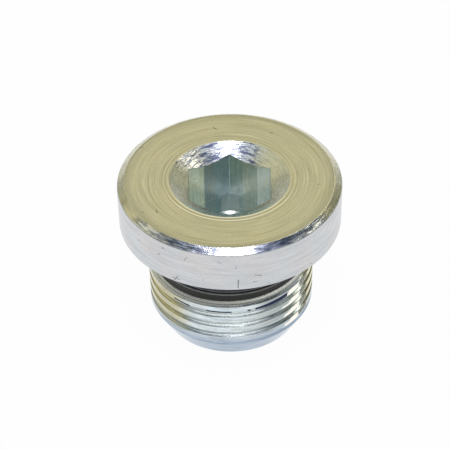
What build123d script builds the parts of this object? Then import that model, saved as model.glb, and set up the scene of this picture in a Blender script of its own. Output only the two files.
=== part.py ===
from build123d import *
import math
import os

# Hex socket plug with a parallel G3/8 thread, a round flange head and a moulded seal ring.
# Millimetres, +Z up. It stands on its thread end: the origin is the centre of that end face,
# and the turning axis is Z. Two corners of the hexagon lie on the Y axis.

# Head
head_diameter = 22.0
head_height = 4.7
rim_chamfer_width = 0.7
rim_chamfer_height = 0.45
head_lower_chamfer = 0.05

# Hexagon socket: straight walls, a countersunk mouth, and a flat floor with the pilot drill's point
socket_across_flats = 8.05
socket_depth = 5.7
socket_mouth_diameter = 11.8
countersink_angle = 120.0
pilot_point_diameter = 3.6
pilot_point_angle = 118.0

# Threaded shank, at the thread's major diameter, below the head's underside
shank_length = 12.2
thread_major_diameter = 16.66
end_chamfer_width = 1.3
end_chamfer_height = 2.4

# Undercut neck between the head and the thread, ending in a conical shoulder
neck_diameter = 14.5
neck_length = 4.4
shoulder_angle = 150.0

# Recess in the head's underside for the seal ring's flange
seal_recess_diameter = 19.2
seal_recess_depth = 1.1

# Seal ring: a flange in the recess, and a collar round the neck that ends in a bead on the shoulder
seal_proud = 0.4
seal_flange_chamfer = 0.3
seal_collar_wall = 0.25
seal_bead_rise = 0.27
seal_bead_length = 0.9
seal_neck_clearance = 0.05
seal_edge_clearance = 0.15
seal_foot_clearance = 0.05

# Heights that several outlines share
underside_z = shank_length
top_z = underside_z + head_height
recess_roof_z = underside_z + seal_recess_depth
neck_foot_z = underside_z - neck_length


def half_angle_slope(included_angle):
    """Radius gained for each millimetre along the axis of a cone of this included angle."""
    return math.tan(math.radians(included_angle / 2))


def shoulder_z(radius):
    """Height of the thread's conical shoulder at a radius."""
    return neck_foot_z - (radius - neck_diameter / 2) / half_angle_slope(shoulder_angle)


def turned(points):
    """Solid of revolution about Z of a closed outline, given as (radius, height) points."""
    return revolve(Plane.XZ * make_face(Polyline(*points, close=True)), Axis.Z)


def turned_blank():
    """Head, neck and shank as one turning, before the socket is made."""
    head_radius = head_diameter / 2
    recess_radius = seal_recess_diameter / 2
    neck_radius = neck_diameter / 2
    thread_radius = thread_major_diameter / 2
    return turned([
        (0, 0),
        (thread_radius - end_chamfer_width, 0),
        (thread_radius, end_chamfer_height),
        (thread_radius, shoulder_z(thread_radius)),
        (neck_radius, neck_foot_z),
        (neck_radius, recess_roof_z),
        (recess_radius, recess_roof_z),
        (recess_radius, underside_z),
        (head_radius - head_lower_chamfer, underside_z),
        (head_radius, underside_z + head_lower_chamfer),
        (head_radius, top_z - rim_chamfer_height),
        (head_radius - rim_chamfer_width, top_z),
        (0, top_z),
    ])


def countersink():
    """Cone that opens the hexagon's mouth and leaves its scalloped edge."""
    mouth_radius = socket_mouth_diameter / 2
    return turned([
        (0, top_z),
        (mouth_radius, top_z),
        (0, top_z - mouth_radius / half_angle_slope(countersink_angle)),
    ])


def hexagon_socket():
    """Hexagonal hole: straight walls down to a flat floor."""
    corner_radius = socket_across_flats / 2 / math.cos(math.pi / 6)
    hexagon = RegularPolygon(radius=corner_radius, side_count=6, rotation=90)
    return extrude(Pos(0, 0, top_z - socket_depth) * hexagon, socket_depth)


def pilot_point():
    """Cone that the pilot drill leaves in the middle of the socket's floor."""
    floor_z = top_z - socket_depth
    point_radius = pilot_point_diameter / 2
    return turned([
        (0, floor_z),
        (point_radius, floor_z),
        (0, floor_z - point_radius / half_angle_slope(pilot_point_angle)),
    ])


def plug_body():
    return turned_blank() - countersink() - hexagon_socket() - pilot_point()


def seal_ring():
    """Moulded ring: flange against the recess's roof, collar along the neck, bead above the shoulder."""
    bore_radius = neck_diameter / 2 + seal_neck_clearance
    flange_radius = seal_recess_diameter / 2 - seal_edge_clearance
    collar_radius = bore_radius + seal_collar_wall
    bead_radius = collar_radius + seal_bead_rise
    flange_foot_z = underside_z - seal_proud
    bead_foot_z = shoulder_z(bead_radius) + seal_foot_clearance
    bead_top_z = bead_foot_z + seal_bead_length
    return turned([
        (bore_radius, recess_roof_z),
        (flange_radius, recess_roof_z),
        (flange_radius, flange_foot_z + seal_flange_chamfer),
        (flange_radius - seal_flange_chamfer, flange_foot_z),
        (collar_radius, flange_foot_z),
        (collar_radius, bead_top_z + seal_bead_rise),
        (bead_radius, bead_top_z),
        (bead_radius, bead_foot_z),
        (bore_radius, shoulder_z(bore_radius) + seal_foot_clearance),
    ])


os.makedirs("parts", exist_ok=True)
export_step(plug_body(), "parts/plug_body.step")
export_step(seal_ring(), "parts/seal_ring.step")
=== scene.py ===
import math

import bpy
from mathutils import Matrix, Vector, noise


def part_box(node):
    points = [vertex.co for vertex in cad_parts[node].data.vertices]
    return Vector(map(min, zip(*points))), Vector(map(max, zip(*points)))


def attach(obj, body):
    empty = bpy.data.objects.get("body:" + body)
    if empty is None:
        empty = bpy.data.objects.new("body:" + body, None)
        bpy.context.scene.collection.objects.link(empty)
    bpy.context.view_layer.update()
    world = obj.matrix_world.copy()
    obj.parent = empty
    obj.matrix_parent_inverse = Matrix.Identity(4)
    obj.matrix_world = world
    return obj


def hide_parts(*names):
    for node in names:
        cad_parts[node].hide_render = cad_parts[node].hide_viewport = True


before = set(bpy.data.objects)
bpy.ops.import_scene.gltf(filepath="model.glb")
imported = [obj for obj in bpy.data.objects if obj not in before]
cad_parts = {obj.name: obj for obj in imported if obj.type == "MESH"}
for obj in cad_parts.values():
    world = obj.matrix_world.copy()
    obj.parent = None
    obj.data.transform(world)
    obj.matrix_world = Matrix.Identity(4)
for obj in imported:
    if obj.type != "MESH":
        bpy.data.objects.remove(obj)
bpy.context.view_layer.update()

# Hex socket plug with a G3/8 thread, zinc plated, with a moulded seal ring below its head.
# Sizes are in millimetres, in the frame's own axes: +Z up, the thread's end face at height 0,
# two corners of the hexagon on the Y axis. MM turns them into metres.
MM = 0.001

head_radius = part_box("plug_body")[1].x / MM
top_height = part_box("plug_body")[1].z / MM

# Head and its recess for the seal
underside_height = 12.2
rim_chamfer_width = 0.7
rim_chamfer_height = 0.45
head_lower_chamfer = 0.05
# Depth of the small dents along the rim, and how much of it the finer dents add
rim_dent_depth = 0.035
fine_dent_share = 0.6
recess_radius = 9.6
recess_roof_height = 13.3

# Hexagon socket
hexagon_apothem = 4.025
hexagon_corner_rounding = 0.12
socket_floor_height = top_height - 5.7
mouth_radius = 5.9
countersink_slope = math.tan(math.radians(60))
pilot_point_radius = 1.8
pilot_point_slope = math.tan(math.radians(59))
# Two fine turned grooves round the mouth
groove_radii = (6.42, 6.03)
groove_half_width = 0.06
groove_depth_front = 0.035
groove_depth_back = 0.0105
groove_support = 0.04

# Neck, shoulder and thread end
neck_radius = 7.25
shoulder_edge_height = 7.45
shoulder_slope = math.tan(math.radians(26.5))
shoulder_tilt = 0.042
shoulder_inner_radius = 7.55
end_chamfer_width = 1.3
end_chamfer_height = 2.4

# Rolled pipe thread, 19 turns to the inch, with broad flat crests. Above a crest come a 27.5 degree
# flank and a facet down to the root, and then one straight flank up to the next crest. The grooves
# fade out towards the thread's end.
thread_radius = 8.33
thread_pitch = 25.4 / 19
thread_climb_per_radian = thread_pitch / (2 * math.pi)
thread_crest_half = 0.34
thread_flank_slope = math.tan(math.radians(27.5))
thread_crest_rounding = 0.07
thread_root_rounding = 0.06
thread_facet_depth = 0.28
thread_facet_slope = math.tan(math.radians(39))
thread_facet_rounding = 0.1
thread_depth = 0.48
thread_blend = 0.05
thread_step = 0.14
first_crest_height = 0.33
thread_fade_low = 1.9
thread_fade_high = 3.5
thread_low = 0.3

# Seal ring
seal_bore_radius = 7.3
seal_collar_radius = 7.55
seal_bead_radius = 7.82
seal_bead_top = 8.57
seal_bead_tilt = 0.022
seal_flange_radius = 9.45
seal_flange_foot = 11.8
seal_flange_chamfer = 0.3
seal_foot_clearance = 0.02
seal_bead_slope = 0.5

# Mesh density
columns_in_sector = 60
columns_in_corner = 4
arc_steps = 2
ring_columns = 240

# The finishes of the steel, in the order of its material slots
FACE, RIM, SIDE, THREAD, SINK, SOCKET, FLOOR, HIDDEN = range(8)


# ---- outlines

def fillet(before, corner, after, rounding):
    """Points of a small arc that rounds a corner, with a support point beyond each end."""
    back = Vector(before) - Vector(corner)
    ahead = Vector(after) - Vector(corner)
    room = 0.4 * min(back.length, ahead.length)
    back.normalize()
    ahead.normalize()
    half_angle = back.angle(ahead) / 2
    reach = min(rounding / math.tan(half_angle), room)
    support = 1.2 * reach
    centre = (back + ahead).normalized() * (reach / math.cos(half_angle))
    start = back * reach - centre
    end = ahead * reach - centre
    points = [back * support]
    for step in range(arc_steps + 1):
        points.append(centre + start.slerp(end, step / arc_steps).normalized() * start.length)
    points.append(ahead * support)
    return [tuple(Vector(corner) + p) for p in points]


def rounded_outline(corners):
    """Outline through (radius, height, rounding, finish of the stretch that follows) corners.

    Gives its points, and the finish of each stretch between two of them."""
    points = [corners[0][:2]]
    finishes = []
    for before, corner, after in zip(corners, corners[1:], corners[2:]):
        arc = fillet(before[:2], corner[:2], after[:2], corner[2]) if corner[2] else [corner[:2]]
        points += arc
        finishes += [before[3]] * (len(arc) - 1) + [corner[3]]
    points.append(corners[-1][:2])
    finishes.insert(0, corners[0][3])
    return points, finishes


def shoulder_height(radius, angle):
    """Height of the thread's shoulder at a place. It stands a little higher on the right."""
    return shoulder_edge_height + (thread_radius - radius) * shoulder_slope \
        + shoulder_tilt * radius * math.cos(angle)


def unevenness(angle, row, scale):
    """A steady random number between -1 and 1 for a place on a turned edge."""
    return noise.noise(Vector((math.cos(angle) * scale, math.sin(angle) * scale, row)))


def dent(angle, row, coarse_scale, fine_scale):
    """How far small dents push an edge out or in at one angle."""
    coarse = unevenness(angle, row, coarse_scale)
    fine = unevenness(angle, row + 1.0, fine_scale)
    return rim_dent_depth * (coarse + fine_dent_share * fine)


def hexagon_radius(angle):
    """Distance from the axis to the hexagon's wall, with its corners rounded."""
    from_corner = (angle - math.pi / 2) % (math.pi / 3)
    from_corner = min(from_corner, math.pi / 3 - from_corner)
    from_middle = math.pi / 6 - from_corner
    straight_half = (hexagon_apothem - hexagon_corner_rounding) * math.tan(math.pi / 6)
    if from_middle < math.atan(straight_half / hexagon_apothem):
        return hexagon_apothem / math.cos(from_middle)
    centre = (hexagon_apothem - hexagon_corner_rounding) / math.cos(math.pi / 6)
    across = centre * math.sin(from_corner)
    return centre * math.cos(from_corner) + math.sqrt(hexagon_corner_rounding ** 2 - across ** 2)


def end_outline():
    """The thread's end face and the foot of its chamfer."""
    foot_radius = thread_radius - end_chamfer_width
    slope = end_chamfer_width / end_chamfer_height
    return rounded_outline([
        (0, 0, 0, THREAD),
        (foot_radius, 0, 0.08, THREAD),
        (foot_radius + thread_low * slope, thread_low, 0, THREAD),
    ])


def head_outline(angle):
    """From the thread's shoulder up the neck, round the head and down the socket at one angle."""
    hex_radius = hexagon_radius(angle)
    chamfer_width = rim_chamfer_width + dent(angle, 1.0, 14.0, 40.0)
    chamfer_height = rim_chamfer_height + dent(angle, 3.0, 16.0, 45.0)
    scallop_height = top_height - (mouth_radius - hex_radius) / countersink_slope
    tip_height = socket_floor_height - pilot_point_radius / pilot_point_slope
    front_share = (1 - math.sin(angle)) / 2
    depth = groove_depth_back + (groove_depth_front - groove_depth_back) * front_share
    grooves = []
    for radius in groove_radii:
        grooves.append((radius + groove_half_width + groove_support, top_height, 0, FACE))
        grooves.append((radius + groove_half_width, top_height, 0, FACE))
        grooves.append((radius, top_height - depth, 0, FACE))
        grooves.append((radius - groove_half_width, top_height, 0, FACE))
    return rounded_outline([
        (shoulder_inner_radius, shoulder_height(shoulder_inner_radius, angle), 0, THREAD),
        (neck_radius, shoulder_height(neck_radius, angle), 0.06, HIDDEN),
        (neck_radius, recess_roof_height, 0.1, HIDDEN),
        (recess_radius, recess_roof_height, 0.1, HIDDEN),
        (recess_radius, underside_height, 0.05, SIDE),
        (head_radius - head_lower_chamfer, underside_height, 0.02, SIDE),
        (head_radius, underside_height + head_lower_chamfer, 0.04, SIDE),
        (head_radius, top_height - chamfer_height, 0.12, RIM),
        (head_radius - chamfer_width, top_height, 0.08, FACE),
        *grooves,
        (mouth_radius, top_height, 0.05, SINK),
        (hex_radius, scallop_height, 0.06, SOCKET),
        (hex_radius, socket_floor_height, 0.04, FLOOR),
        (pilot_point_radius, socket_floor_height, 0.08, FLOOR),
        (0, tip_height, 0, FLOOR),
    ])


def thread_section():
    """One pitch of the thread's section: points of (rise above the crest's middle, depth below it)."""
    facet_rise = thread_crest_half + thread_facet_depth * thread_flank_slope
    root_rise = facet_rise + (thread_depth - thread_facet_depth) * thread_facet_slope
    points = rounded_outline([
        (0, 0, 0, 0),
        (0, thread_crest_half, thread_crest_rounding, 0),
        (thread_facet_depth, facet_rise, thread_facet_rounding, 0),
        (thread_depth, root_rise, thread_root_rounding, 0),
        (0, thread_pitch - thread_crest_half, thread_crest_rounding, 0),
        (0, thread_pitch, 0, 0),
    ])[0]
    section = []
    for start, end in zip(points, points[1:]):
        steps = max(1, round(math.dist(start, end) / thread_step))
        for step in range(steps):
            depth, rise = Vector(start).lerp(Vector(end), step / steps)
            section.append((rise, depth))
    return section


def smooth_min(a, b):
    """The smaller of two radii, with the edge between them rounded."""
    near = max(thread_blend - abs(a - b), 0) / thread_blend
    return min(a, b) - near * near * thread_blend / 4


def shank_radius(height, depth, angle):
    """Radius of the threaded shank where the section has this depth, with its end and shoulder."""
    share = min(max((height - thread_fade_low) / (thread_fade_high - thread_fade_low), 0), 1)
    depth *= share * share * (3 - 2 * share)
    chamfer = thread_radius - end_chamfer_width * (1 - height / end_chamfer_height)
    edge = shoulder_height(thread_radius, angle)
    shoulder = thread_radius - (height - edge) / shoulder_slope
    return smooth_min(thread_radius - depth, min(chamfer, shoulder))


# ---- meshes

class Skin:
    """Vertices and faces of a turned skin, joined column by column."""

    def __init__(self):
        self.vertices = []
        self.faces = []
        self.finishes = []

    def point(self, radius, angle, height):
        """Adds a vertex, given in millimetres, and gives its number."""
        x = radius * math.cos(angle) * MM
        y = radius * math.sin(angle) * MM
        self.vertices.append((x, y, height * MM))
        return len(self.vertices) - 1

    def strip(self, left, right, finishes):
        """Faces between two columns of vertices, without the ones that shrink to nothing."""
        for low_left, low_right, high_right, high_left, finish in zip(
                left, right, right[1:], left[1:], finishes):
            face = list(dict.fromkeys((low_left, low_right, high_right, high_left)))
            if len(face) > 2:
                self.faces.append(face)
                self.finishes.append(finish)

    def make(self, name, materials):
        """The skin as an object, with one material slot for each material."""
        mesh = bpy.data.meshes.new(name)
        mesh.from_pydata(self.vertices, [], self.faces)
        for material in materials:
            mesh.materials.append(material)
        mesh.polygons.foreach_set("material_index", self.finishes)
        mesh.polygons.foreach_set("use_smooth", [True] * len(self.faces))
        mesh.update()
        piece = bpy.data.objects.new(name, mesh)
        bpy.context.scene.collection.objects.link(piece)
        return piece


def hexagon_columns():
    """Angles once round from the front, closer together at the hexagon's corners."""
    straight_half = (hexagon_apothem - hexagon_corner_rounding) * math.tan(math.pi / 6)
    corner_half = math.pi / 6 - math.atan(straight_half / hexagon_apothem)
    sector = math.pi / 3
    flat = sector - 2 * corner_half
    angles = []
    for corner in range(6):
        start = -math.pi / 2 + corner * sector
        for step in range(columns_in_corner):
            angles.append(start + corner_half * step / columns_in_corner)
        for step in range(columns_in_sector):
            angles.append(start + corner_half + flat * step / columns_in_sector)
        for step in range(columns_in_corner):
            angles.append(start + sector - corner_half * (1 - step / columns_in_corner))
    return angles


def thread_column(skin, angle, section, turns, low, high):
    """Vertices up one column of the thread.

    Each row keeps its place in the section as it climbs. low and high are the vertices that the
    rows beyond the thread's ends shrink to."""
    climb = thread_pitch * (angle + math.pi / 2) / (2 * math.pi)
    thread_high = shoulder_height(shoulder_inner_radius, angle)
    column = []
    for turn in turns:
        for rise, depth in section:
            height = first_crest_height + climb + turn * thread_pitch + rise
            if height <= thread_low:
                column.append(low)
            elif height >= thread_high:
                column.append(high)
            else:
                column.append(skin.point(shank_radius(height, depth, angle), angle, height))
    return column


def plug_mesh(materials):
    """The whole steel piece as one closed skin.

    Once round, the helix has climbed a pitch, so the last column of the thread joins the first
    one shifted by a whole section."""
    skin = Skin()
    angles = hexagon_columns()
    section = thread_section()
    turns = range(-2, math.ceil(underside_height / thread_pitch))
    end_points, end_finishes = end_outline()
    end_centre = skin.point(0, 0, 0)
    socket_tip = skin.point(0, 0, head_outline(0)[0][-1][1])
    ends, threads, heads = [], [], []
    for angle in angles:
        head_points, head_finishes = head_outline(angle)
        end = [end_centre] + [skin.point(r, angle, z) for r, z in end_points[1:]]
        head = [skin.point(r, angle, z) for r, z in head_points[:-1]] + [socket_tip]
        ends.append(end)
        heads.append(head)
        threads.append(thread_column(skin, angle, section, turns, end[-1], head[0]))
    for column in range(len(angles)):
        following = (column + 1) % len(angles)
        thread = threads[following]
        if following == 0:
            thread = thread[len(section):] + [heads[0][0]] * len(section)
        skin.strip(ends[column], ends[following], end_finishes)
        skin.strip(threads[column], thread, [THREAD] * len(thread))
        skin.strip(heads[column], heads[following], head_finishes)
    return skin.make("zinc_plated_plug", materials)


def seal_outline(angle):
    """Section of the seal ring at one angle. Its foot follows the thread's shoulder."""
    foot = shoulder_height(seal_bead_radius, angle) + seal_foot_clearance
    inner_foot = shoulder_height(seal_bore_radius, angle) + seal_foot_clearance
    bead_top = seal_bead_top + seal_bead_tilt * seal_bead_radius * math.cos(angle)
    bead_rise = seal_bead_radius - seal_collar_radius
    middle_height = (bead_top + seal_flange_foot) / 2
    return rounded_outline([
        (seal_bore_radius, middle_height, 0, 0),
        (seal_bore_radius, inner_foot, 0.04, 0),
        (seal_bead_radius, foot, 0.04, 0),
        (seal_bead_radius, bead_top, 0.06, 0),
        (seal_collar_radius, bead_top + bead_rise * seal_bead_slope, 0.06, 0),
        (seal_collar_radius, seal_flange_foot, 0.15, 0),
        (seal_flange_radius - seal_flange_chamfer, seal_flange_foot, 0.15, 0),
        (seal_flange_radius, seal_flange_foot + seal_flange_chamfer, 0.15, 0),
        (seal_flange_radius, recess_roof_height, 0.1, 0),
        (seal_bore_radius, recess_roof_height, 0.1, 0),
        (seal_bore_radius, middle_height, 0, 0),
    ])


def seal_mesh(material):
    """The seal ring: bead above the thread, collar round the neck, flange in the head's recess."""
    skin = Skin()
    columns = []
    for column in range(ring_columns):
        angle = 2 * math.pi * column / ring_columns
        points, finishes = seal_outline(angle)
        rows = [skin.point(r, angle, z) for r, z in points[:-1]]
        columns.append(rows + rows[:1])
    for column, rows in enumerate(columns):
        skin.strip(rows, columns[(column + 1) % ring_columns], finishes)
    return skin.make("rubber_seal_ring", [material])


# ---- material nodes

# How much a step in height counts in the streaks, against the same step in radius
streak_height_share = 0.62


class Tree:
    """Short calls for the nodes of one material, world or group."""

    def __init__(self, tree):
        self.tree = tree

    def node(self, kind, inputs=None, **settings):
        """A new node. Each input is a value or the output of another node."""
        made = self.tree.nodes.new(kind)
        for name, value in settings.items():
            setattr(made, name, value)
        for socket, value in (inputs or {}).items():
            if isinstance(value, bpy.types.NodeSocket):
                self.tree.links.new(value, made.inputs[socket])
            else:
                made.inputs[socket].default_value = value
        return made

    def math(self, operation, *values):
        made = self.node("ShaderNodeMath", dict(enumerate(values)), operation=operation)
        return made.outputs[0]

    def vector(self, operation, *values, output=0):
        made = self.node("ShaderNodeVectorMath", dict(enumerate(values)), operation=operation)
        return made.outputs[output]

    def ramp(self, value, low, high, to_low=0.0, to_high=1.0):
        """A smooth step of value, from to_low at low to to_high at high."""
        inputs = {"Value": value, "From Min": low, "From Max": high,
                  "To Min": to_low, "To Max": to_high}
        return self.node("ShaderNodeMapRange", inputs, interpolation_type="SMOOTHSTEP").outputs[0]

    def band(self, value, centre, inner, outer):
        """1 within the inner distance of a centre, 0 beyond the outer one."""
        distance = self.math("ABSOLUTE", self.math("SUBTRACT", value, centre))
        return self.ramp(distance, inner, outer, 1.0, 0.0)

    def window(self, value, low, high, soft):
        """1 between two values, falling to 0 over a soft margin outside them."""
        rising = self.ramp(value, low - soft, low)
        return self.math("MULTIPLY", rising, self.ramp(value, high + soft, high))

    def product(self, *values):
        """All the values multiplied together."""
        result = values[0]
        for value in values[1:]:
            result = self.math("MULTIPLY", result, value)
        return result

    def mix(self, share, first, second, blend="MIX"):
        """A mix of two colours."""
        made = self.node("ShaderNodeMix", {"Factor": share}, data_type="RGBA", blend_type=blend)
        targets = [s for s in made.inputs if s.type == "RGBA"]
        for target, value in zip(targets, (first, second)):
            if isinstance(value, bpy.types.NodeSocket):
                self.tree.links.new(value, target)
            else:
                target.default_value = (*value, 1)
        return [s for s in made.outputs if s.type == "RGBA"][0]

    def shaded(self, colour, shade):
        """A colour made darker or lighter by a number."""
        grey = self.node("ShaderNodeCombineColor", {0: shade, 1: shade, 2: shade}).outputs[0]
        return self.mix(1.0, colour, grey, "MULTIPLY")

    def tinted(self, colour, value, tints):
        """A colour that takes on each (start, stop, strength, tint) as the value goes that way."""
        for start, stop, strength, tint in tints:
            colour = self.mix(self.ramp(value, start, stop, 0.0, strength), colour, tint)
        return colour

    def noise(self, vector, scale, detail=2.0, roughness=0.5):
        inputs = {"Vector": vector, "Scale": scale, "Detail": detail, "Roughness": roughness}
        return self.node("ShaderNodeTexNoise", inputs).outputs["Fac"]

    def parts(self, vector):
        """The X, Y and Z of a vector."""
        return self.node("ShaderNodeSeparateXYZ", {0: vector}).outputs

    def scaled(self, vector, scale):
        made = self.node("ShaderNodeVectorMath", {0: vector, "Scale": scale}, operation="SCALE")
        return made.outputs[0]

    def azimuth(self, place):
        """Angle round from the front, in radians, growing to the right."""
        across, depth, _ = self.parts(place)
        return self.math("ARCTAN2", across, self.math("MULTIPLY", depth, -1.0))

    def streaks(self, radius, height, around, across_scale, along_scale, detail=3.0):
        """Noise drawn out round the axis, as a cutting tool leaves it."""
        across = self.math("MULTIPLY_ADD", height, streak_height_share, radius)
        across = self.math("MULTIPLY", across, across_scale)
        x, y, _ = self.parts(self.scaled(around, along_scale))
        vector = self.node("ShaderNodeCombineXYZ", {0: x, 1: y, 2: across}).outputs[0]
        return self.noise(vector, 1.0, detail, 0.6)


class Surface:
    """Where a shaded point lies on a turned piece, in millimetres.

    around is its direction from the axis, on the unit circle."""

    def __init__(self, tree):
        coordinates = tree.node("ShaderNodeTexCoord").outputs["Object"]
        self.place = tree.scaled(coordinates, 1 / MM)
        self.across, self.depth, self.height = tree.parts(self.place)
        flat = tree.vector("MULTIPLY", self.place, (1, 1, 0))
        self.radius = tree.vector("LENGTH", flat, output=1)
        self.around = tree.vector("NORMALIZE", flat)


def new_material(name):
    material = bpy.data.materials.new(name)
    material.use_nodes = True
    material.node_tree.nodes.clear()
    return material, Tree(material.node_tree)


# Handling marks. On the side: degrees round from the front, height, length, tilt, width.
SIDE_NICKS = [
    (3.4, 12.95, 1.0, 88, 0.09),
    (-28.4, 12.62, 0.8, 0, 0.07),
    (-28.2, 12.68, 0.7, 56, 0.07),
    (13.4, 13.78, 0.65, -16, 0.07),
    (11.7, 13.06, 0.4, 5, 0.06),
    (-13.9, 13.32, 0.15, 80, 0.06),
    (-22.6, 15.5, 0.6, 60, 0.045),
    (-35.3, 15.85, 0.2, 0, 0.09),
    (-37.9, 14.86, 0.25, 20, 0.08),
    (-52.0, 14.97, 0.3, 30, 0.06),
    (-5.7, 15.63, 0.5, -32, 0.04),
    (2.3, 15.02, 0.4, 58, 0.035),
    (44.4, 12.6, 0.35, -8, 0.05),
    (18.9, 12.56, 0.15, 40, 0.05),
]
# On the top face: x, y, length, tilt, width.
FACE_NICKS = [
    (-1.4, 8.0, 0.5, -46, 0.07),
    (4.28, 7.07, 0.3, -35, 0.07),
    (-6.97, -4.88, 0.4, -72, 0.08),
    (-8.65, 5.04, 0.25, 30, 0.07),
    (-8.28, -4.96, 0.25, -40, 0.07),
    (8.64, -1.23, 0.3, 20, 0.06),
]


# The look of the nicks: how far they wander, how much they cover, their colour, the roughness
# that they add, and their depth against that of the turning marks
nick_wander = 0.12
nick_cover = 0.85
nick_colour = (0.09, 0.1, 0.11)
nick_roughness = 0.2
nick_relief = -1.5


def nick_group():
    """Node group: 1 inside a short scratch on a flattened surface, 0 outside it."""
    group = bpy.data.node_groups.new("nick", "ShaderNodeTree")
    for name, kind in (("Place", "Vector"), ("Centre", "Vector"), ("Tilt", "Float"),
                       ("Half Length", "Vector"), ("Width", "Float")):
        group.interface.new_socket(name, in_out="INPUT", socket_type="NodeSocket" + kind)
    group.interface.new_socket("Mask", in_out="OUTPUT", socket_type="NodeSocketFloat")
    tree = Tree(group)
    given = tree.node("NodeGroupInput").outputs
    offset = tree.vector("SUBTRACT", given["Place"], given["Centre"])
    turned = tree.node("ShaderNodeVectorRotate", {"Vector": offset, "Angle": given["Tilt"]},
                       rotation_type="Z_AXIS").outputs[0]
    beyond = tree.vector("SUBTRACT", tree.vector("ABSOLUTE", turned), given["Half Length"])
    beyond = tree.vector("MAXIMUM", beyond, (0, 0, 0))
    distance = tree.vector("LENGTH", beyond, output=1)
    tree.node("NodeGroupOutput", {"Mask": tree.ramp(distance, given["Width"], 0.0)})
    return group


def nick_mask(tree, place, nicks):
    """The strongest of several nicks at each place."""
    mask = None
    for across, up, length, tilt, width in nicks:
        made = tree.node("ShaderNodeGroup", node_tree=bpy.data.node_groups["nick"])
        tree.tree.links.new(place, made.inputs["Place"])
        made.inputs["Centre"].default_value = (across, up, 0)
        made.inputs["Tilt"].default_value = -math.radians(tilt)
        made.inputs["Half Length"].default_value = (length / 2, 0, 0)
        made.inputs["Width"].default_value = width
        found = made.outputs["Mask"]
        mask = found if mask is None else tree.math("MAXIMUM", mask, found)
    return mask


def side_nicks(tree, place, height):
    """Nick mask on the head's side, unrolled from the front."""
    unrolled = tree.math("MULTIPLY", tree.azimuth(place), head_radius)
    flat = tree.node("ShaderNodeCombineXYZ", {0: unrolled, 1: height}).outputs[0]
    nicks = [(math.radians(degrees) * head_radius, *rest) for degrees, *rest in SIDE_NICKS]
    return nick_mask(tree, flat, nicks)


def face_nicks(tree, place, height):
    """Nick mask on the top face."""
    return nick_mask(tree, tree.vector("MULTIPLY", place, (1, 1, 0)), FACE_NICKS)


def fine_grain(tree, place):
    """Fine noise that runs through all the steel."""
    return tree.noise(place, 7.0, 3.0, 0.65)


def zinc(name, tints, roughness, anisotropy, streak, bump, nicks=None, detail=None):
    """Bright zinc plating on turned steel.

    tints: the middle colour, and the two that the plating drifts to. streak: lines per millimetre
    across the turning marks, and how often they break round the axis. bump: depth of the marks.
    nicks(tree, place, height) gives the mask of the handling marks. detail(tree, at, colour,
    rough) changes the colour and the roughness of one kind of surface."""
    material, tree = new_material(name)
    at = Surface(tree)
    middle, cool, warm = tints
    # Slow drifts of tint, some 3 mm across, under the turning marks and the fine grain
    drift = tree.noise(at.place, 0.33, 2.0)
    colour = tree.mix(tree.ramp(drift, 0.35, 0.7), cool, warm)
    colour = tree.mix(0.6, colour, middle)
    lines = tree.streaks(at.radius, at.height, at.around, *streak)
    fine = fine_grain(tree, at.place)
    shade = tree.math("ADD", tree.math("MULTIPLY", lines, 0.6), tree.math("MULTIPLY", fine, 0.4))
    colour = tree.shaded(colour, tree.ramp(shade, 0.3, 0.7, 0.86, 1.1))
    rough = tree.ramp(fine, 0.3, 0.75, roughness - 0.05, roughness + 0.08)
    relief = tree.math("MULTIPLY_ADD", fine, 0.35, lines)
    if detail:
        colour, rough = detail(tree, at, colour, rough)
    if nicks:
        # The nicks' outlines wander, so that no scratch is quite straight
        wobble = tree.node("ShaderNodeTexNoise", {"Vector": at.place, "Scale": 6.0}).outputs["Color"]
        wobble = tree.vector("SUBTRACT", wobble, (0.5, 0.5, 0.5))
        shift = tree.vector("MULTIPLY", wobble, (nick_wander, nick_wander, nick_wander))
        mask = nicks(tree, tree.vector("ADD", at.place, shift), at.height)
        colour = tree.mix(tree.math("MULTIPLY", mask, nick_cover), colour, nick_colour)
        rough = tree.math("MULTIPLY_ADD", mask, nick_roughness, rough)
        relief = tree.math("MULTIPLY_ADD", mask, nick_relief, relief)
    normal = tree.node("ShaderNodeBump", {"Strength": 1.0, "Distance": bump * MM, "Height": relief})
    shader = tree.node("ShaderNodeBsdfPrincipled", {
        "Base Color": colour,
        "Metallic": 1.0,
        "Roughness": rough,
        "Normal": normal.outputs[0],
        "Anisotropic": anisotropy,
    })
    if anisotropy:
        tangent = tree.node("ShaderNodeTangent", direction_type="RADIAL", axis="Z")
        tree.tree.links.new(tangent.outputs[0], shader.inputs["Tangent"])
    tree.node("ShaderNodeOutputMaterial", {"Surface": shader.outputs[0]})
    return material


# The top face: a dull zone along the rim, arcs of darker and lighter turning marks, painted shade
# and painted highlight lines along the grooves, and a painted highlight line along the rim's right
dull_rim_width = 1.7
dull_rim_tint = (0.36, 0.36, 0.29)
FACE_ARCS = (
    (0.48, 0.34, 0.5, (0.44, 0.43, 0.33)),
    (0.56, 0.70, 0.6, (0.92, 0.90, 0.76)),
)
mouth_groove_highlight_tint = (1.0, 0.98, 0.86)
mouth_groove_painted_shade_tint = (0.42, 0.38, 0.26)
mouth_groove_painted_shade_offset = 0.17
rim_highlight_tint = (1.0, 0.98, 0.84)
rim_highlight_inset = 0.03


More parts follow.
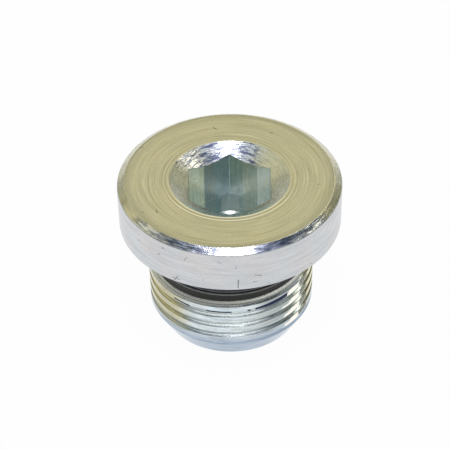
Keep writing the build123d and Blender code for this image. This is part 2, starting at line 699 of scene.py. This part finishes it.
def face_detail(tree, at, colour, rough):
    """A dull, grainy zone along the rim, turning arcs, painted shade by the grooves, and warm painted
    highlight lines round the mouth and rim.
    """
    rim_edge = head_radius - rim_chamfer_width
    rim = tree.ramp(at.radius, head_radius - dull_rim_width, rim_edge)
    grain = tree.ramp(tree.noise(at.place, 14.0, 2.0, 0.7), 0.38, 0.62)
    dull = tree.math("MULTIPLY", rim, tree.math("MULTIPLY_ADD", grain, 0.45, 0.2))
    colour = tree.mix(dull, colour, dull_rim_tint)
    rough = tree.math("MULTIPLY_ADD", rim, 0.06, rough)
    arcs = tree.streaks(at.radius, at.height, at.around, 5.5, 1.3, 4.0)
    colour = tree.tinted(colour, arcs, FACE_ARCS)
    # Painted shade between the two grooves and outside them, stronger in front, then a painted
    # highlight line along each
    between = tree.band(at.radius, sum(groove_radii) / 2, 0.1, 0.16)
    between = tree.product(between, tree.ramp(at.depth, -1.5, -4.5, 0.3, 1.0), 0.5)
    colour = tree.mix(between, colour, mouth_groove_painted_shade_tint)
    outside = tree.band(at.radius, groove_radii[0] + mouth_groove_painted_shade_offset, 0.03, 0.1)
    colour = tree.mix(tree.math("MULTIPLY", outside, 0.35), colour, mouth_groove_painted_shade_tint)
    strength = tree.ramp(at.depth, -1.5, -4.5, 0.2, 1.0)
    for groove_radius in groove_radii:
        line = tree.band(at.radius, groove_radius, 0.05, 0.11)
        colour = tree.mix(tree.math("MULTIPLY", line, strength), colour, mouth_groove_highlight_tint)
    # A painted highlight line just inside the rim's edge, at the right
    edge = tree.band(at.radius, rim_edge - rim_highlight_inset, 0.02, 0.07)
    edge = tree.math("MULTIPLY", edge, tree.ramp(at.across, 1.5, 3.0, 0.0, 0.8))
    return tree.mix(edge, colour, rim_highlight_tint), rough


# Painted reflections on the thread round the axis, by how far across: olive, grey, then olive at the
# far right
THREAD_SIDE_REFLECTIONS = (
    (-3.6, -5.8, 1.0, (0.58, 0.55, 0.38)),
    (1.6, 3.6, 1.0, (0.50, 0.55, 0.55)),
    (6.9, 7.6, 1.0, (0.66, 0.64, 0.42)),
)
# Tints towards the thread's end, by height: bluish, then blue-grey on the chamfer
THREAD_END_TINTS = (
    (4.3, 2.8, 0.75, (0.48, 0.56, 0.65)),
    (3.1, 2.3, 1.0, (0.36, 0.45, 0.56)),
)
# Where the thread's marks begin above its end, and half the soft edge between crest and groove
marks_low, marks_high = 2.3, 3.0
crest_edge_soft = 0.03
# Painted highlights and reflections on the thread, in degrees round from the front
bright_from, bright_to = -16.0, 14.0
spot_from, spot_to = 0.0, 6.5
cream_from, cream_to = 40.0, 53.5
dark_from, dark_to = 55.0, 64.0
thread_groove_highlight_tint = (0.96, 1.0, 1.0)
cream_crest_reflection_tint = (1.0, 0.99, 0.90)
dark_crest_reflection_tint = (0.11, 0.12, 0.08)
# Painted shade lines along the crests' upper and lower edges. The lower one drifts down at the right.
upper_crest_shade_tint = (0.22, 0.25, 0.24)
lower_crest_shade_tint = (0.06, 0.08, 0.12)
lower_crest_shade_drift = 0.16
# The shoulder above the thread, and its two turned lines as (radius, half width)
shoulder_tint = (1.0, 1.0, 0.96)
shoulder_line_tint = (0.25, 0.25, 0.22)
shoulder_lines = ((8.03, 0.015), (8.3, 0.01))

# The painted dark reflection above the first crest's lower edge, a dark blue band: degrees round from
# the front, its height there, how that climbs and bends with the degrees, half its width at the left
# and at the right, and its gaps as (from, to, strength)
dark_band_from, dark_band_to = -42.5, 41.0
dark_band_height = 6.75
dark_band_climb = 0.0045
dark_band_bend = 0.00012
dark_band_thin, dark_band_broad = 0.09, 0.24
dark_band_reflection_tint = (0.022, 0.028, 0.07)
dark_band_gaps = ((-29.0, -18.0, 0.65), (0.5, 10.0, 0.95), (13.5, 15.5, 0.9))


class Helix:
    """Where a shaded point lies on the thread.

    rise: height above the middle of the nearest crest. crest: 1 on the crests, 0 in the grooves.
    on_thread: 0 on the end chamfer. broken: noise that breaks up lines. spot: the brightest part
    in front."""

    def __init__(self, tree, at):
        self.azimuth = tree.azimuth(at.place)
        self.degrees = tree.math("MULTIPLY", self.azimuth, 180 / math.pi)
        climb = tree.math("MULTIPLY_ADD", self.azimuth, thread_climb_per_radian, first_crest_height)
        turns = tree.math("DIVIDE", tree.math("SUBTRACT", at.height, climb), thread_pitch)
        past_crest = tree.math("SUBTRACT", turns, tree.math("ROUND", turns))
        self.rise = tree.math("MULTIPLY", past_crest, thread_pitch)
        inner = thread_crest_half - crest_edge_soft
        self.crest = tree.band(self.rise, 0.0, inner, thread_crest_half + crest_edge_soft)
        self.on_thread = tree.ramp(at.height, marks_low, marks_high)
        self.broken = tree.noise(at.place, 1.3, 2.0)
        self.spot = tree.window(self.degrees, spot_from, spot_to, 2.0)


def thread_tints(tree, at, helix, colour):
    """Painted reflections across the thread, bluish tints towards its end, and fine streaks that
    follow the helix.
    """
    colour = tree.tinted(colour, at.across, THREAD_SIDE_REFLECTIONS)
    colour = tree.tinted(colour, at.height, THREAD_END_TINTS)
    level = tree.math("MULTIPLY_ADD", helix.azimuth, -thread_climb_per_radian, at.height)
    drawn = tree.streaks(0.0, level, at.around, 7.0, 3.0, 3.0)
    return tree.shaded(colour, tree.ramp(drawn, 0.38, 0.56, 0.78, 1.02))


def thread_grooves(tree, at, helix, colour, rough):
    """The grooves are lighter in front, a painted highlight, and blur what they mirror there."""
    groove = tree.math("MULTIPLY", tree.math("SUBTRACT", 1.0, helix.crest), helix.on_thread)
    # Painted highlight on the grooves in front
    front = tree.window(helix.degrees, bright_from, bright_to, 22.0)
    front = tree.product(groove, front, tree.ramp(at.height, 2.6, 4.2))
    colour = tree.mix(front, colour, thread_groove_highlight_tint)
    rough = tree.math("MULTIPLY_ADD", front, 0.1, rough)
    return colour, tree.math("MULTIPLY_ADD", tree.math("MULTIPLY", groove, helix.spot), 0.2, rough)


def thread_patches(tree, at, helix, colour):
    """Cream and dark patches on the crests at the right, painted reflections."""
    slanted = tree.math("MULTIPLY_ADD", helix.rise, -12.0, helix.degrees)
    slanted = tree.math("MULTIPLY_ADD", tree.math("SUBTRACT", helix.broken, 0.5), 12.0, slanted)
    # Painted cream reflection on the crests
    cream = tree.product(
        tree.ramp(slanted, cream_from, cream_from + 3.0),
        tree.ramp(helix.degrees, cream_to + 2.0, cream_to),
        helix.crest,
        helix.on_thread,
    )
    colour = tree.mix(cream, colour, cream_crest_reflection_tint)
    # Painted dark reflection on the crests
    wander = tree.math("SUBTRACT", tree.noise(at.place, 2.6, 4.0), 0.5)
    ragged = tree.math("MULTIPLY_ADD", wander, 8.0, helix.degrees)
    dark = tree.product(
        tree.window(ragged, dark_from, dark_to, 1.5),
        tree.ramp(helix.rise, -0.25, -0.15),
        helix.crest,
        tree.ramp(fine_grain(tree, at.place), 0.62, 0.4, 0.7, 1.0),
        helix.on_thread,
    )
    return tree.mix(dark, colour, dark_crest_reflection_tint)


def thread_lines(tree, at, helix, colour):
    """Thin, broken lines of painted shade along both edges of the crests."""
    upper = tree.band(helix.rise, thread_crest_half + 0.03, 0.01, 0.05)
    upper = tree.product(upper, tree.ramp(helix.broken, 0.3, 0.6, 0.2, 0.6), helix.on_thread)
    colour = tree.mix(upper, colour, upper_crest_shade_tint)
    drifted = tree.math("ADD", helix.rise, tree.ramp(helix.degrees, 15.0, 50.0, 0.0, lower_crest_shade_drift))
    lower = tree.product(
        tree.band(drifted, -thread_crest_half - 0.02, 0.02, 0.08),
        tree.ramp(helix.broken, 0.35, 0.55, 1.0, 0.6),
        tree.ramp(at.height, 2.4, 4.6, 0.25, 1.0),
        tree.math("MULTIPLY_ADD", helix.spot, -0.7, 1.0),
        helix.on_thread,
    )
    return tree.mix(lower, colour, lower_crest_shade_tint)


def thread_dark_band(tree, at, helix, colour):
    """The dark blue band, a painted reflection: thin on the left and in the middle, broad on the
    right.
    """
    slope = tree.math("MULTIPLY_ADD", helix.degrees, dark_band_bend, dark_band_climb)
    middle = tree.math("MULTIPLY_ADD", slope, helix.degrees, dark_band_height)
    distance = tree.math("ABSOLUTE", tree.math("SUBTRACT", at.height, middle))
    reach = tree.ramp(helix.degrees, 8.0, 34.0, dark_band_thin, dark_band_broad)
    mask = tree.ramp(tree.math("SUBTRACT", distance, reach), 0.03, -0.02)
    mask = tree.math("MULTIPLY", mask, tree.window(helix.degrees, dark_band_from, dark_band_to, 0.6))
    for start, stop, strength in dark_band_gaps:
        gap = tree.math("MULTIPLY", tree.window(helix.degrees, start, stop, 1.2), strength)
        mask = tree.math("MULTIPLY", mask, tree.math("SUBTRACT", 1.0, gap))
    return tree.mix(mask, colour, dark_band_reflection_tint)


def thread_shoulder(tree, at, colour, rough):
    """The light, dull shoulder above the thread, with two turned lines."""
    tilted = tree.math("MULTIPLY_ADD", at.across, -shoulder_tilt, at.height)
    shoulder = tree.ramp(tilted, shoulder_edge_height - 0.05, shoulder_edge_height + 0.03)
    colour = tree.mix(shoulder, colour, shoulder_tint)
    lines = [tree.band(at.radius, radius, half, 0.05) for radius, half in shoulder_lines]
    lines = tree.product(tree.math("MAXIMUM", *lines), shoulder, 0.6)
    colour = tree.mix(lines, colour, shoulder_line_tint)
    return colour, tree.math("MULTIPLY_ADD", shoulder, 0.5, rough)


def thread_detail(tree, at, colour, rough):
    """Tints and painted reflections, a painted highlight in the grooves, painted shade lines and a
    painted dark band on the thread, and its turned shoulder.
    """
    helix = Helix(tree, at)
    colour = thread_tints(tree, at, helix, colour)
    colour, rough = thread_grooves(tree, at, helix, colour, rough)
    colour = thread_patches(tree, at, helix, colour)
    colour = thread_lines(tree, at, helix, colour)
    colour = thread_dark_band(tree, at, helix, colour)
    return thread_shoulder(tree, at, colour, rough)


def stepped(tree, value, steps, soft):
    """Colour that changes at each (value, colour) step, over a soft margin."""
    colour = steps[0][1]
    for start, following in steps[1:]:
        colour = tree.mix(tree.ramp(value, start - soft, start + soft), colour, following)
    return colour


# Broad vertical panels of painted reflection on the socket's walls, and on its floor: from which x,
# and their shade. The floor's middle panel is also duller.
WALL_REFLECTION_PANELS = (
    (-9.0, (1.25, 1.16, 0.94)),
    (-2.55, (0.53, 0.57, 0.58)),
    (-1.5, (0.50, 0.60, 0.66)),
    (0.05, (0.66, 0.74, 0.78)),
    (1.35, (0.86, 0.86, 0.82)),
    (2.8, (1.25, 1.20, 1.16)),
)
floor_middle_from, floor_middle_to = -0.85, 0.95
FLOOR_REFLECTION_PANELS = (
    (-9.0, (0.76, 0.86, 0.92)),
    (floor_middle_from, (1.22, 1.16, 1.14)),
    (floor_middle_to, (0.86, 0.93, 0.96)),
)
dull_point_tint = (0.40, 0.48, 0.48)


def wall_detail(tree, at, colour, rough):
    """Vertical panels of painted reflection, and draw marks."""
    colour = tree.mix(1.0, colour, stepped(tree, at.across, WALL_REFLECTION_PANELS, 0.08), "MULTIPLY")
    drawn = tree.streaks(0.0, at.height, at.around, 0.5, 40.0, 3.0)
    return tree.shaded(colour, tree.ramp(drawn, 0.35, 0.65, 0.86, 1.06)), rough


def floor_detail(tree, at, colour, rough):
    """A lighter middle, a painted reflection. The pilot point's sides are dull."""
    colour = tree.mix(1.0, colour, stepped(tree, at.across, FLOOR_REFLECTION_PANELS, 0.15), "MULTIPLY")
    sideways = tree.ramp(tree.math("ABSOLUTE", at.across), 0.05, 0.95)
    inside = tree.ramp(at.radius, pilot_point_radius + 0.05, pilot_point_radius - 0.05)
    dull = tree.math("MULTIPLY", sideways, inside)
    colour = tree.mix(dull, colour, dull_point_tint)
    rough = tree.math("MULTIPLY_ADD", dull, 0.35, rough)
    middle = tree.window(at.across, floor_middle_from, floor_middle_to, 0.2)
    return colour, tree.math("MULTIPLY_ADD", middle, 0.13, rough)


def streaked(dark, light, low, high, calm_colour, calm_area, front_reflection_colour=None):
    """A detail that breaks a turned cone into dark and light streaks round the axis.

    low, high: the noise where dark ends and light begins. calm_area(tree, at) gives the mask
    where the plain calm_colour takes over, which turns into front_reflection_colour, a painted
    reflection, in front."""
    def detail(tree, at, colour, rough):
        fine_lines = tree.streaks(at.radius, at.height, at.around, 13.0, 6.0, 4.0)
        coarse = tree.streaks(at.radius, at.height, at.around, 3.0, 5.0, 2.0)
        blend = tree.math("MULTIPLY_ADD", coarse, 0.5, tree.math("MULTIPLY", fine_lines, 0.5))
        streaks = tree.mix(tree.ramp(blend, low, high), dark, light)
        plain = tree.shaded(calm_colour, tree.ramp(blend, low, high, 0.86, 1.06))
        # In front, a painted reflection lightens the plain colour
        if front_reflection_colour:
            plain = tree.tinted(plain, at.depth, [(-3.0, -4.6, 0.9, front_reflection_colour)])
        calm = calm_area(tree, at)
        return tree.mix(calm, streaks, plain), tree.math("MULTIPLY_ADD", calm, 0.08, rough)
    return detail


def rim_calm(tree, at):
    """The rim chamfer is streaked in front alone."""
    return tree.ramp(at.depth, -6.6, -5.2)


def sink_calm(tree, at):
    """The countersink is streaked at the back alone, and less so at its right."""
    return tree.math("MAXIMUM", tree.ramp(at.depth, 3.0, 1.8), tree.ramp(at.across, 2.4, 3.4))


def steel_materials():
    """The zinc's finishes, in the order of the names FACE to HIDDEN."""
    nick_group()
    olive = ((0.70, 0.68, 0.57), (0.66, 0.66, 0.58), (0.72, 0.68, 0.54))
    plain = ((0.70, 0.70, 0.69), (0.66, 0.69, 0.74), (0.72, 0.70, 0.62))
    pale = ((0.62, 0.63, 0.64), (0.57, 0.62, 0.67), (0.67, 0.62, 0.63))
    bluish = ((0.70, 0.77, 0.80), (0.64, 0.76, 0.84), (0.78, 0.80, 0.74))
    teal = ((0.80, 0.86, 0.84), (0.76, 0.85, 0.86), (0.84, 0.87, 0.78))
    rim_streaks = streaked(
        dark=(0.20, 0.23, 0.30), light=(0.94, 0.95, 1.0), low=0.41, high=0.58,
        calm_colour=(0.70, 0.68, 0.55), calm_area=rim_calm)
    sink_streaks = streaked(
        dark=(0.13, 0.16, 0.26), light=(0.84, 0.84, 0.82), low=0.42, high=0.55,
        calm_colour=(0.68, 0.69, 0.62), calm_area=sink_calm, front_reflection_colour=(0.80, 0.97, 1.0))
    return [
        zinc("zinc_turned_face", olive, 0.27, 0.3, (9.0, 2.5), 0.006, face_nicks, face_detail),
        zinc("zinc_rim_chamfer", plain, 0.16, 0.0, (8.0, 6.0), 0.03, detail=rim_streaks),
        zinc("zinc_head_side", pale, 0.3, 0.2, (5.0, 3.0), 0.004, side_nicks),
        zinc("zinc_thread", bluish, 0.15, 0.0, (3.0, 6.0), 0.004, detail=thread_detail),
        zinc("zinc_countersink", plain, 0.2, 0.3, (9.0, 3.0), 0.02, detail=sink_streaks),
        zinc("zinc_socket_walls", teal, 0.32, 0.0, (2.0, 8.0), 0.006, detail=wall_detail),
        zinc("zinc_socket_floor", teal, 0.2, 0.6, (8.0, 2.0), 0.008, detail=floor_detail),
        zinc("zinc_neck", pale, 0.35, 0.0, (6.0, 2.0), 0.004),
    ]


# The rubber: its base tints, a lighter bluish one above the bead that is a painted reflection, and two
# painted highlight lines
rubber_tints = ((0.009, 0.009, 0.008), (0.017, 0.017, 0.014))
rubber_upper_reflection_tint = (0.04, 0.04, 0.055)
bead_highlight_tint = (0.34, 0.34, 0.35)
collar_highlight_tint = (0.24, 0.24, 0.26)
collar_highlight_rise = 0.16
rubber_bump = 0.006


def rubber_material():
    """Black moulded elastomer, satin, with a faint moulded grain, a painted reflection above the bead,
    and two broken painted highlight lines.
    """
    material, tree = new_material("black_elastomer")
    at = Surface(tree)
    grain = tree.noise(at.place, 9.0, 3.0)
    flow = tree.streaks(at.radius, at.height, at.around, 6.0, 2.0)
    colour = tree.mix(tree.ramp(flow, 0.35, 0.7), *rubber_tints)
    level = tree.math("MULTIPLY_ADD", at.across, -seal_bead_tilt, at.height)
    # A painted reflection: a lighter bluish tint above the bead
    above = tree.ramp(level, seal_bead_top + 0.03, seal_bead_top + 0.12)
    colour = tree.mix(above, colour, rubber_upper_reflection_tint)
    # Painted highlight lines along the bead's top edge and on the collar above it, broken by noise
    highlight_breaks = tree.ramp(tree.noise(at.place, 1.5, 3.0), 0.3, 0.5, 0.7, 1.0)
    edge = tree.band(level, seal_bead_top, 0.025, 0.07)
    colour = tree.mix(tree.math("MULTIPLY", edge, highlight_breaks), colour, bead_highlight_tint)
    inner = tree.band(level, seal_bead_top + collar_highlight_rise, 0.02, 0.06)
    colour = tree.mix(tree.math("MULTIPLY", inner, highlight_breaks), colour, collar_highlight_tint)
    relief = tree.math("MULTIPLY_ADD", grain, 0.5, flow)
    depth = rubber_bump * MM
    normal = tree.node("ShaderNodeBump", {"Strength": 1.0, "Distance": depth, "Height": relief})
    shader = tree.node("ShaderNodeBsdfPrincipled", {
        "Base Color": colour,
        "Roughness": tree.ramp(grain, 0.3, 0.7, 0.38, 0.52),
        "Specular IOR Level": 0.35,
        "Normal": normal.outputs[0],
    })
    tree.node("ShaderNodeOutputMaterial", {"Surface": shader.outputs[0]})
    return material


# ---- stage, light and camera

# The stage's reach, where its edge begins to rise and how high, and how much of it glows white
floor_reach = 600.0
cove_foot = 380.0
cove_rise = 98.0
cove_steps = 8
stage_columns = 64
white_share = 0.965


def white_stage_material():
    """White floor. The camera and reflections see it near white, and its shadow stays."""
    material, tree = new_material("white_stage")
    diffuse = tree.node("ShaderNodeBsdfDiffuse", {"Color": (0.95, 0.95, 0.95, 1)})
    glow = tree.node("ShaderNodeEmission", {"Color": (1, 1, 1, 1), "Strength": 1.0})
    path = tree.node("ShaderNodeLightPath").outputs
    seen = tree.math("MAXIMUM", path["Is Camera Ray"], path["Is Glossy Ray"])
    seen = tree.math("MAXIMUM", seen, path["Is Transmission Ray"])
    share = tree.math("MULTIPLY", seen, white_share)
    mixed = tree.node("ShaderNodeMixShader", {0: share, 1: diffuse.outputs[0], 2: glow.outputs[0]})
    tree.node("ShaderNodeOutputMaterial", {"Surface": mixed.outputs[0]})
    return material


def white_stage():
    """A round white floor whose edge rises into a low wall all round."""
    skin = Skin()
    centre = skin.point(0, 0, 0)
    outline = [(cove_foot * share, 0) for share in (0.1, 0.4, 1.0)]
    for step in range(1, cove_steps + 1):
        share = step / cove_steps
        outline.append((cove_foot + (floor_reach - cove_foot) * share, cove_rise * share * share))
    columns = []
    for column in range(stage_columns):
        angle = 2 * math.pi * column / stage_columns
        columns.append([centre] + [skin.point(r, angle, z) for r, z in outline])
    for column, rows in enumerate(columns):
        skin.strip(columns[(column + 1) % stage_columns], rows, [0] * len(rows))
    skin.make("white_stage", [white_stage_material()])


def studio_world():
    """Soft surroundings: warm walls behind and beside, a dark front, a cool bright ceiling."""
    world = bpy.data.worlds.new("studio")
    world.use_nodes = True
    world.node_tree.nodes.clear()
    tree = Tree(world.node_tree)
    direction = tree.node("ShaderNodeTexCoord").outputs["Generated"]
    across, depth, up = tree.parts(direction)
    warm_wall = (0.74, 0.70, 0.47)
    right_wall = (0.20, 0.20, 0.14)
    ceiling = (0.82, 0.94, 1.02)
    dark_front = (0.10, 0.12, 0.17)
    low_wall = (0.36, 0.37, 0.29)
    front_wall = (0.42, 0.45, 0.42)
    dull_zenith = (0.26, 0.30, 0.30)
    glow = (0.78, 0.80, 1.0)
    glow_direction = (0.05, -0.27, 0.96)
    rightness = tree.ramp(tree.math("MULTIPLY_ADD", depth, -0.3, across), 0.37, 0.45)
    wall = tree.mix(rightness, warm_wall, right_wall)
    wall = tree.mix(tree.ramp(up, 0.30, 0.55), low_wall, wall)
    back = tree.mix(tree.ramp(up, 0.86, 0.95), wall, ceiling)
    zenith = tree.math("MULTIPLY", tree.ramp(up, 0.95, 0.97), tree.ramp(depth, 0.02, 0.06))
    back = tree.mix(zenith, back, dull_zenith)
    front = tree.mix(tree.ramp(up, 0.70, 0.78), front_wall, dark_front)
    tilted = tree.math("MULTIPLY_ADD", up, 0.8, depth)
    colour = tree.mix(tree.ramp(tilted, 0.62, 0.74), front, back)
    nearness = tree.vector("DOT_PRODUCT", direction, glow_direction, output=1)
    colour = tree.mix(tree.ramp(nearness, 0.90, 0.975), colour, glow)
    background = tree.node("ShaderNodeBackground", {"Color": colour, "Strength": 1.0})
    tree.node("ShaderNodeOutputWorld", {"Surface": background.outputs[0]})
    bpy.context.scene.world = world


def softbox(name, direction, distance, size, radiance, colour):
    """A rectangular lamp that faces the plug from a direction, seen only in reflections."""
    lamp = bpy.data.lights.new(name, "AREA")
    lamp.shape = "RECTANGLE"
    lamp.size, lamp.size_y = size
    lamp.energy = radiance * math.pi * size[0] * size[1]
    lamp.color = colour
    holder = bpy.data.objects.new(name, lamp)
    away = Vector(direction).normalized()
    holder.location = Vector((0, 0, top_height * MM)) + away * distance
    holder.rotation_mode = "QUATERNION"
    holder.rotation_quaternion = away.to_track_quat("Z", "Y")
    holder.visible_camera = False
    bpy.context.scene.collection.objects.link(holder)


def studio_lamps():
    """A large white lamp overhead, and a smaller warm one behind at the right."""
    distance = 0.35
    white = (1.0, 1.0, 1.0)
    warm = (1.0, 0.97, 0.84)
    softbox("overhead_softbox", (0.0, -0.35, 0.936), distance, (0.078, 0.16), 9.5, white)
    softbox("right_back_softbox", (0.57, 0.28, 0.77), distance, (0.06, 0.09), 3.0, warm)


# The camera, fitted to the plug's outline in the photo's frame of 450 by 450 pixels. The target
# and the distance are in millimetres, the lens is in millimetres on a sensor 36 wide.
camera_sensor = 36
camera_target = Vector((0, 0, 8.684))
camera_distance = 160.28
camera_elevation = math.radians(41.228)
camera_roll = math.radians(-0.981)
camera_lens = 127.26
camera_shift = (-0.01238, 0.0361)


def studio_camera():
    """The photo's camera, in front of the plug and looking down on it."""
    data = bpy.data.cameras.new("camera")
    data.sensor_width = camera_sensor
    data.lens = camera_lens
    data.shift_x, data.shift_y = camera_shift
    data.clip_start = 0.01
    data.clip_end = 10
    camera = bpy.data.objects.new("camera", data)
    bpy.context.scene.collection.objects.link(camera)
    back = Vector((0, -math.cos(camera_elevation), math.sin(camera_elevation)))
    level_up = Vector((0, math.sin(camera_elevation), math.cos(camera_elevation)))
    level_right = Vector((1, 0, 0))
    right = math.cos(camera_roll) * level_right + math.sin(camera_roll) * level_up
    up = math.cos(camera_roll) * level_up - math.sin(camera_roll) * level_right
    camera.rotation_mode = "QUATERNION"
    camera.rotation_quaternion = Matrix((right, up, back)).transposed().to_quaternion()
    camera.location = (camera_target + camera_distance * back) * MM
    bpy.context.scene.camera = camera


# ---- the scene

plug = plug_mesh(steel_materials())
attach(plug, "root")
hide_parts("plug_body")

seal = seal_mesh(rubber_material())
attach(seal, "root")
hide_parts("seal_ring")

white_stage()
studio_world()
studio_lamps()
studio_camera()
bpy.context.scene.view_settings.view_transform = "Standard"
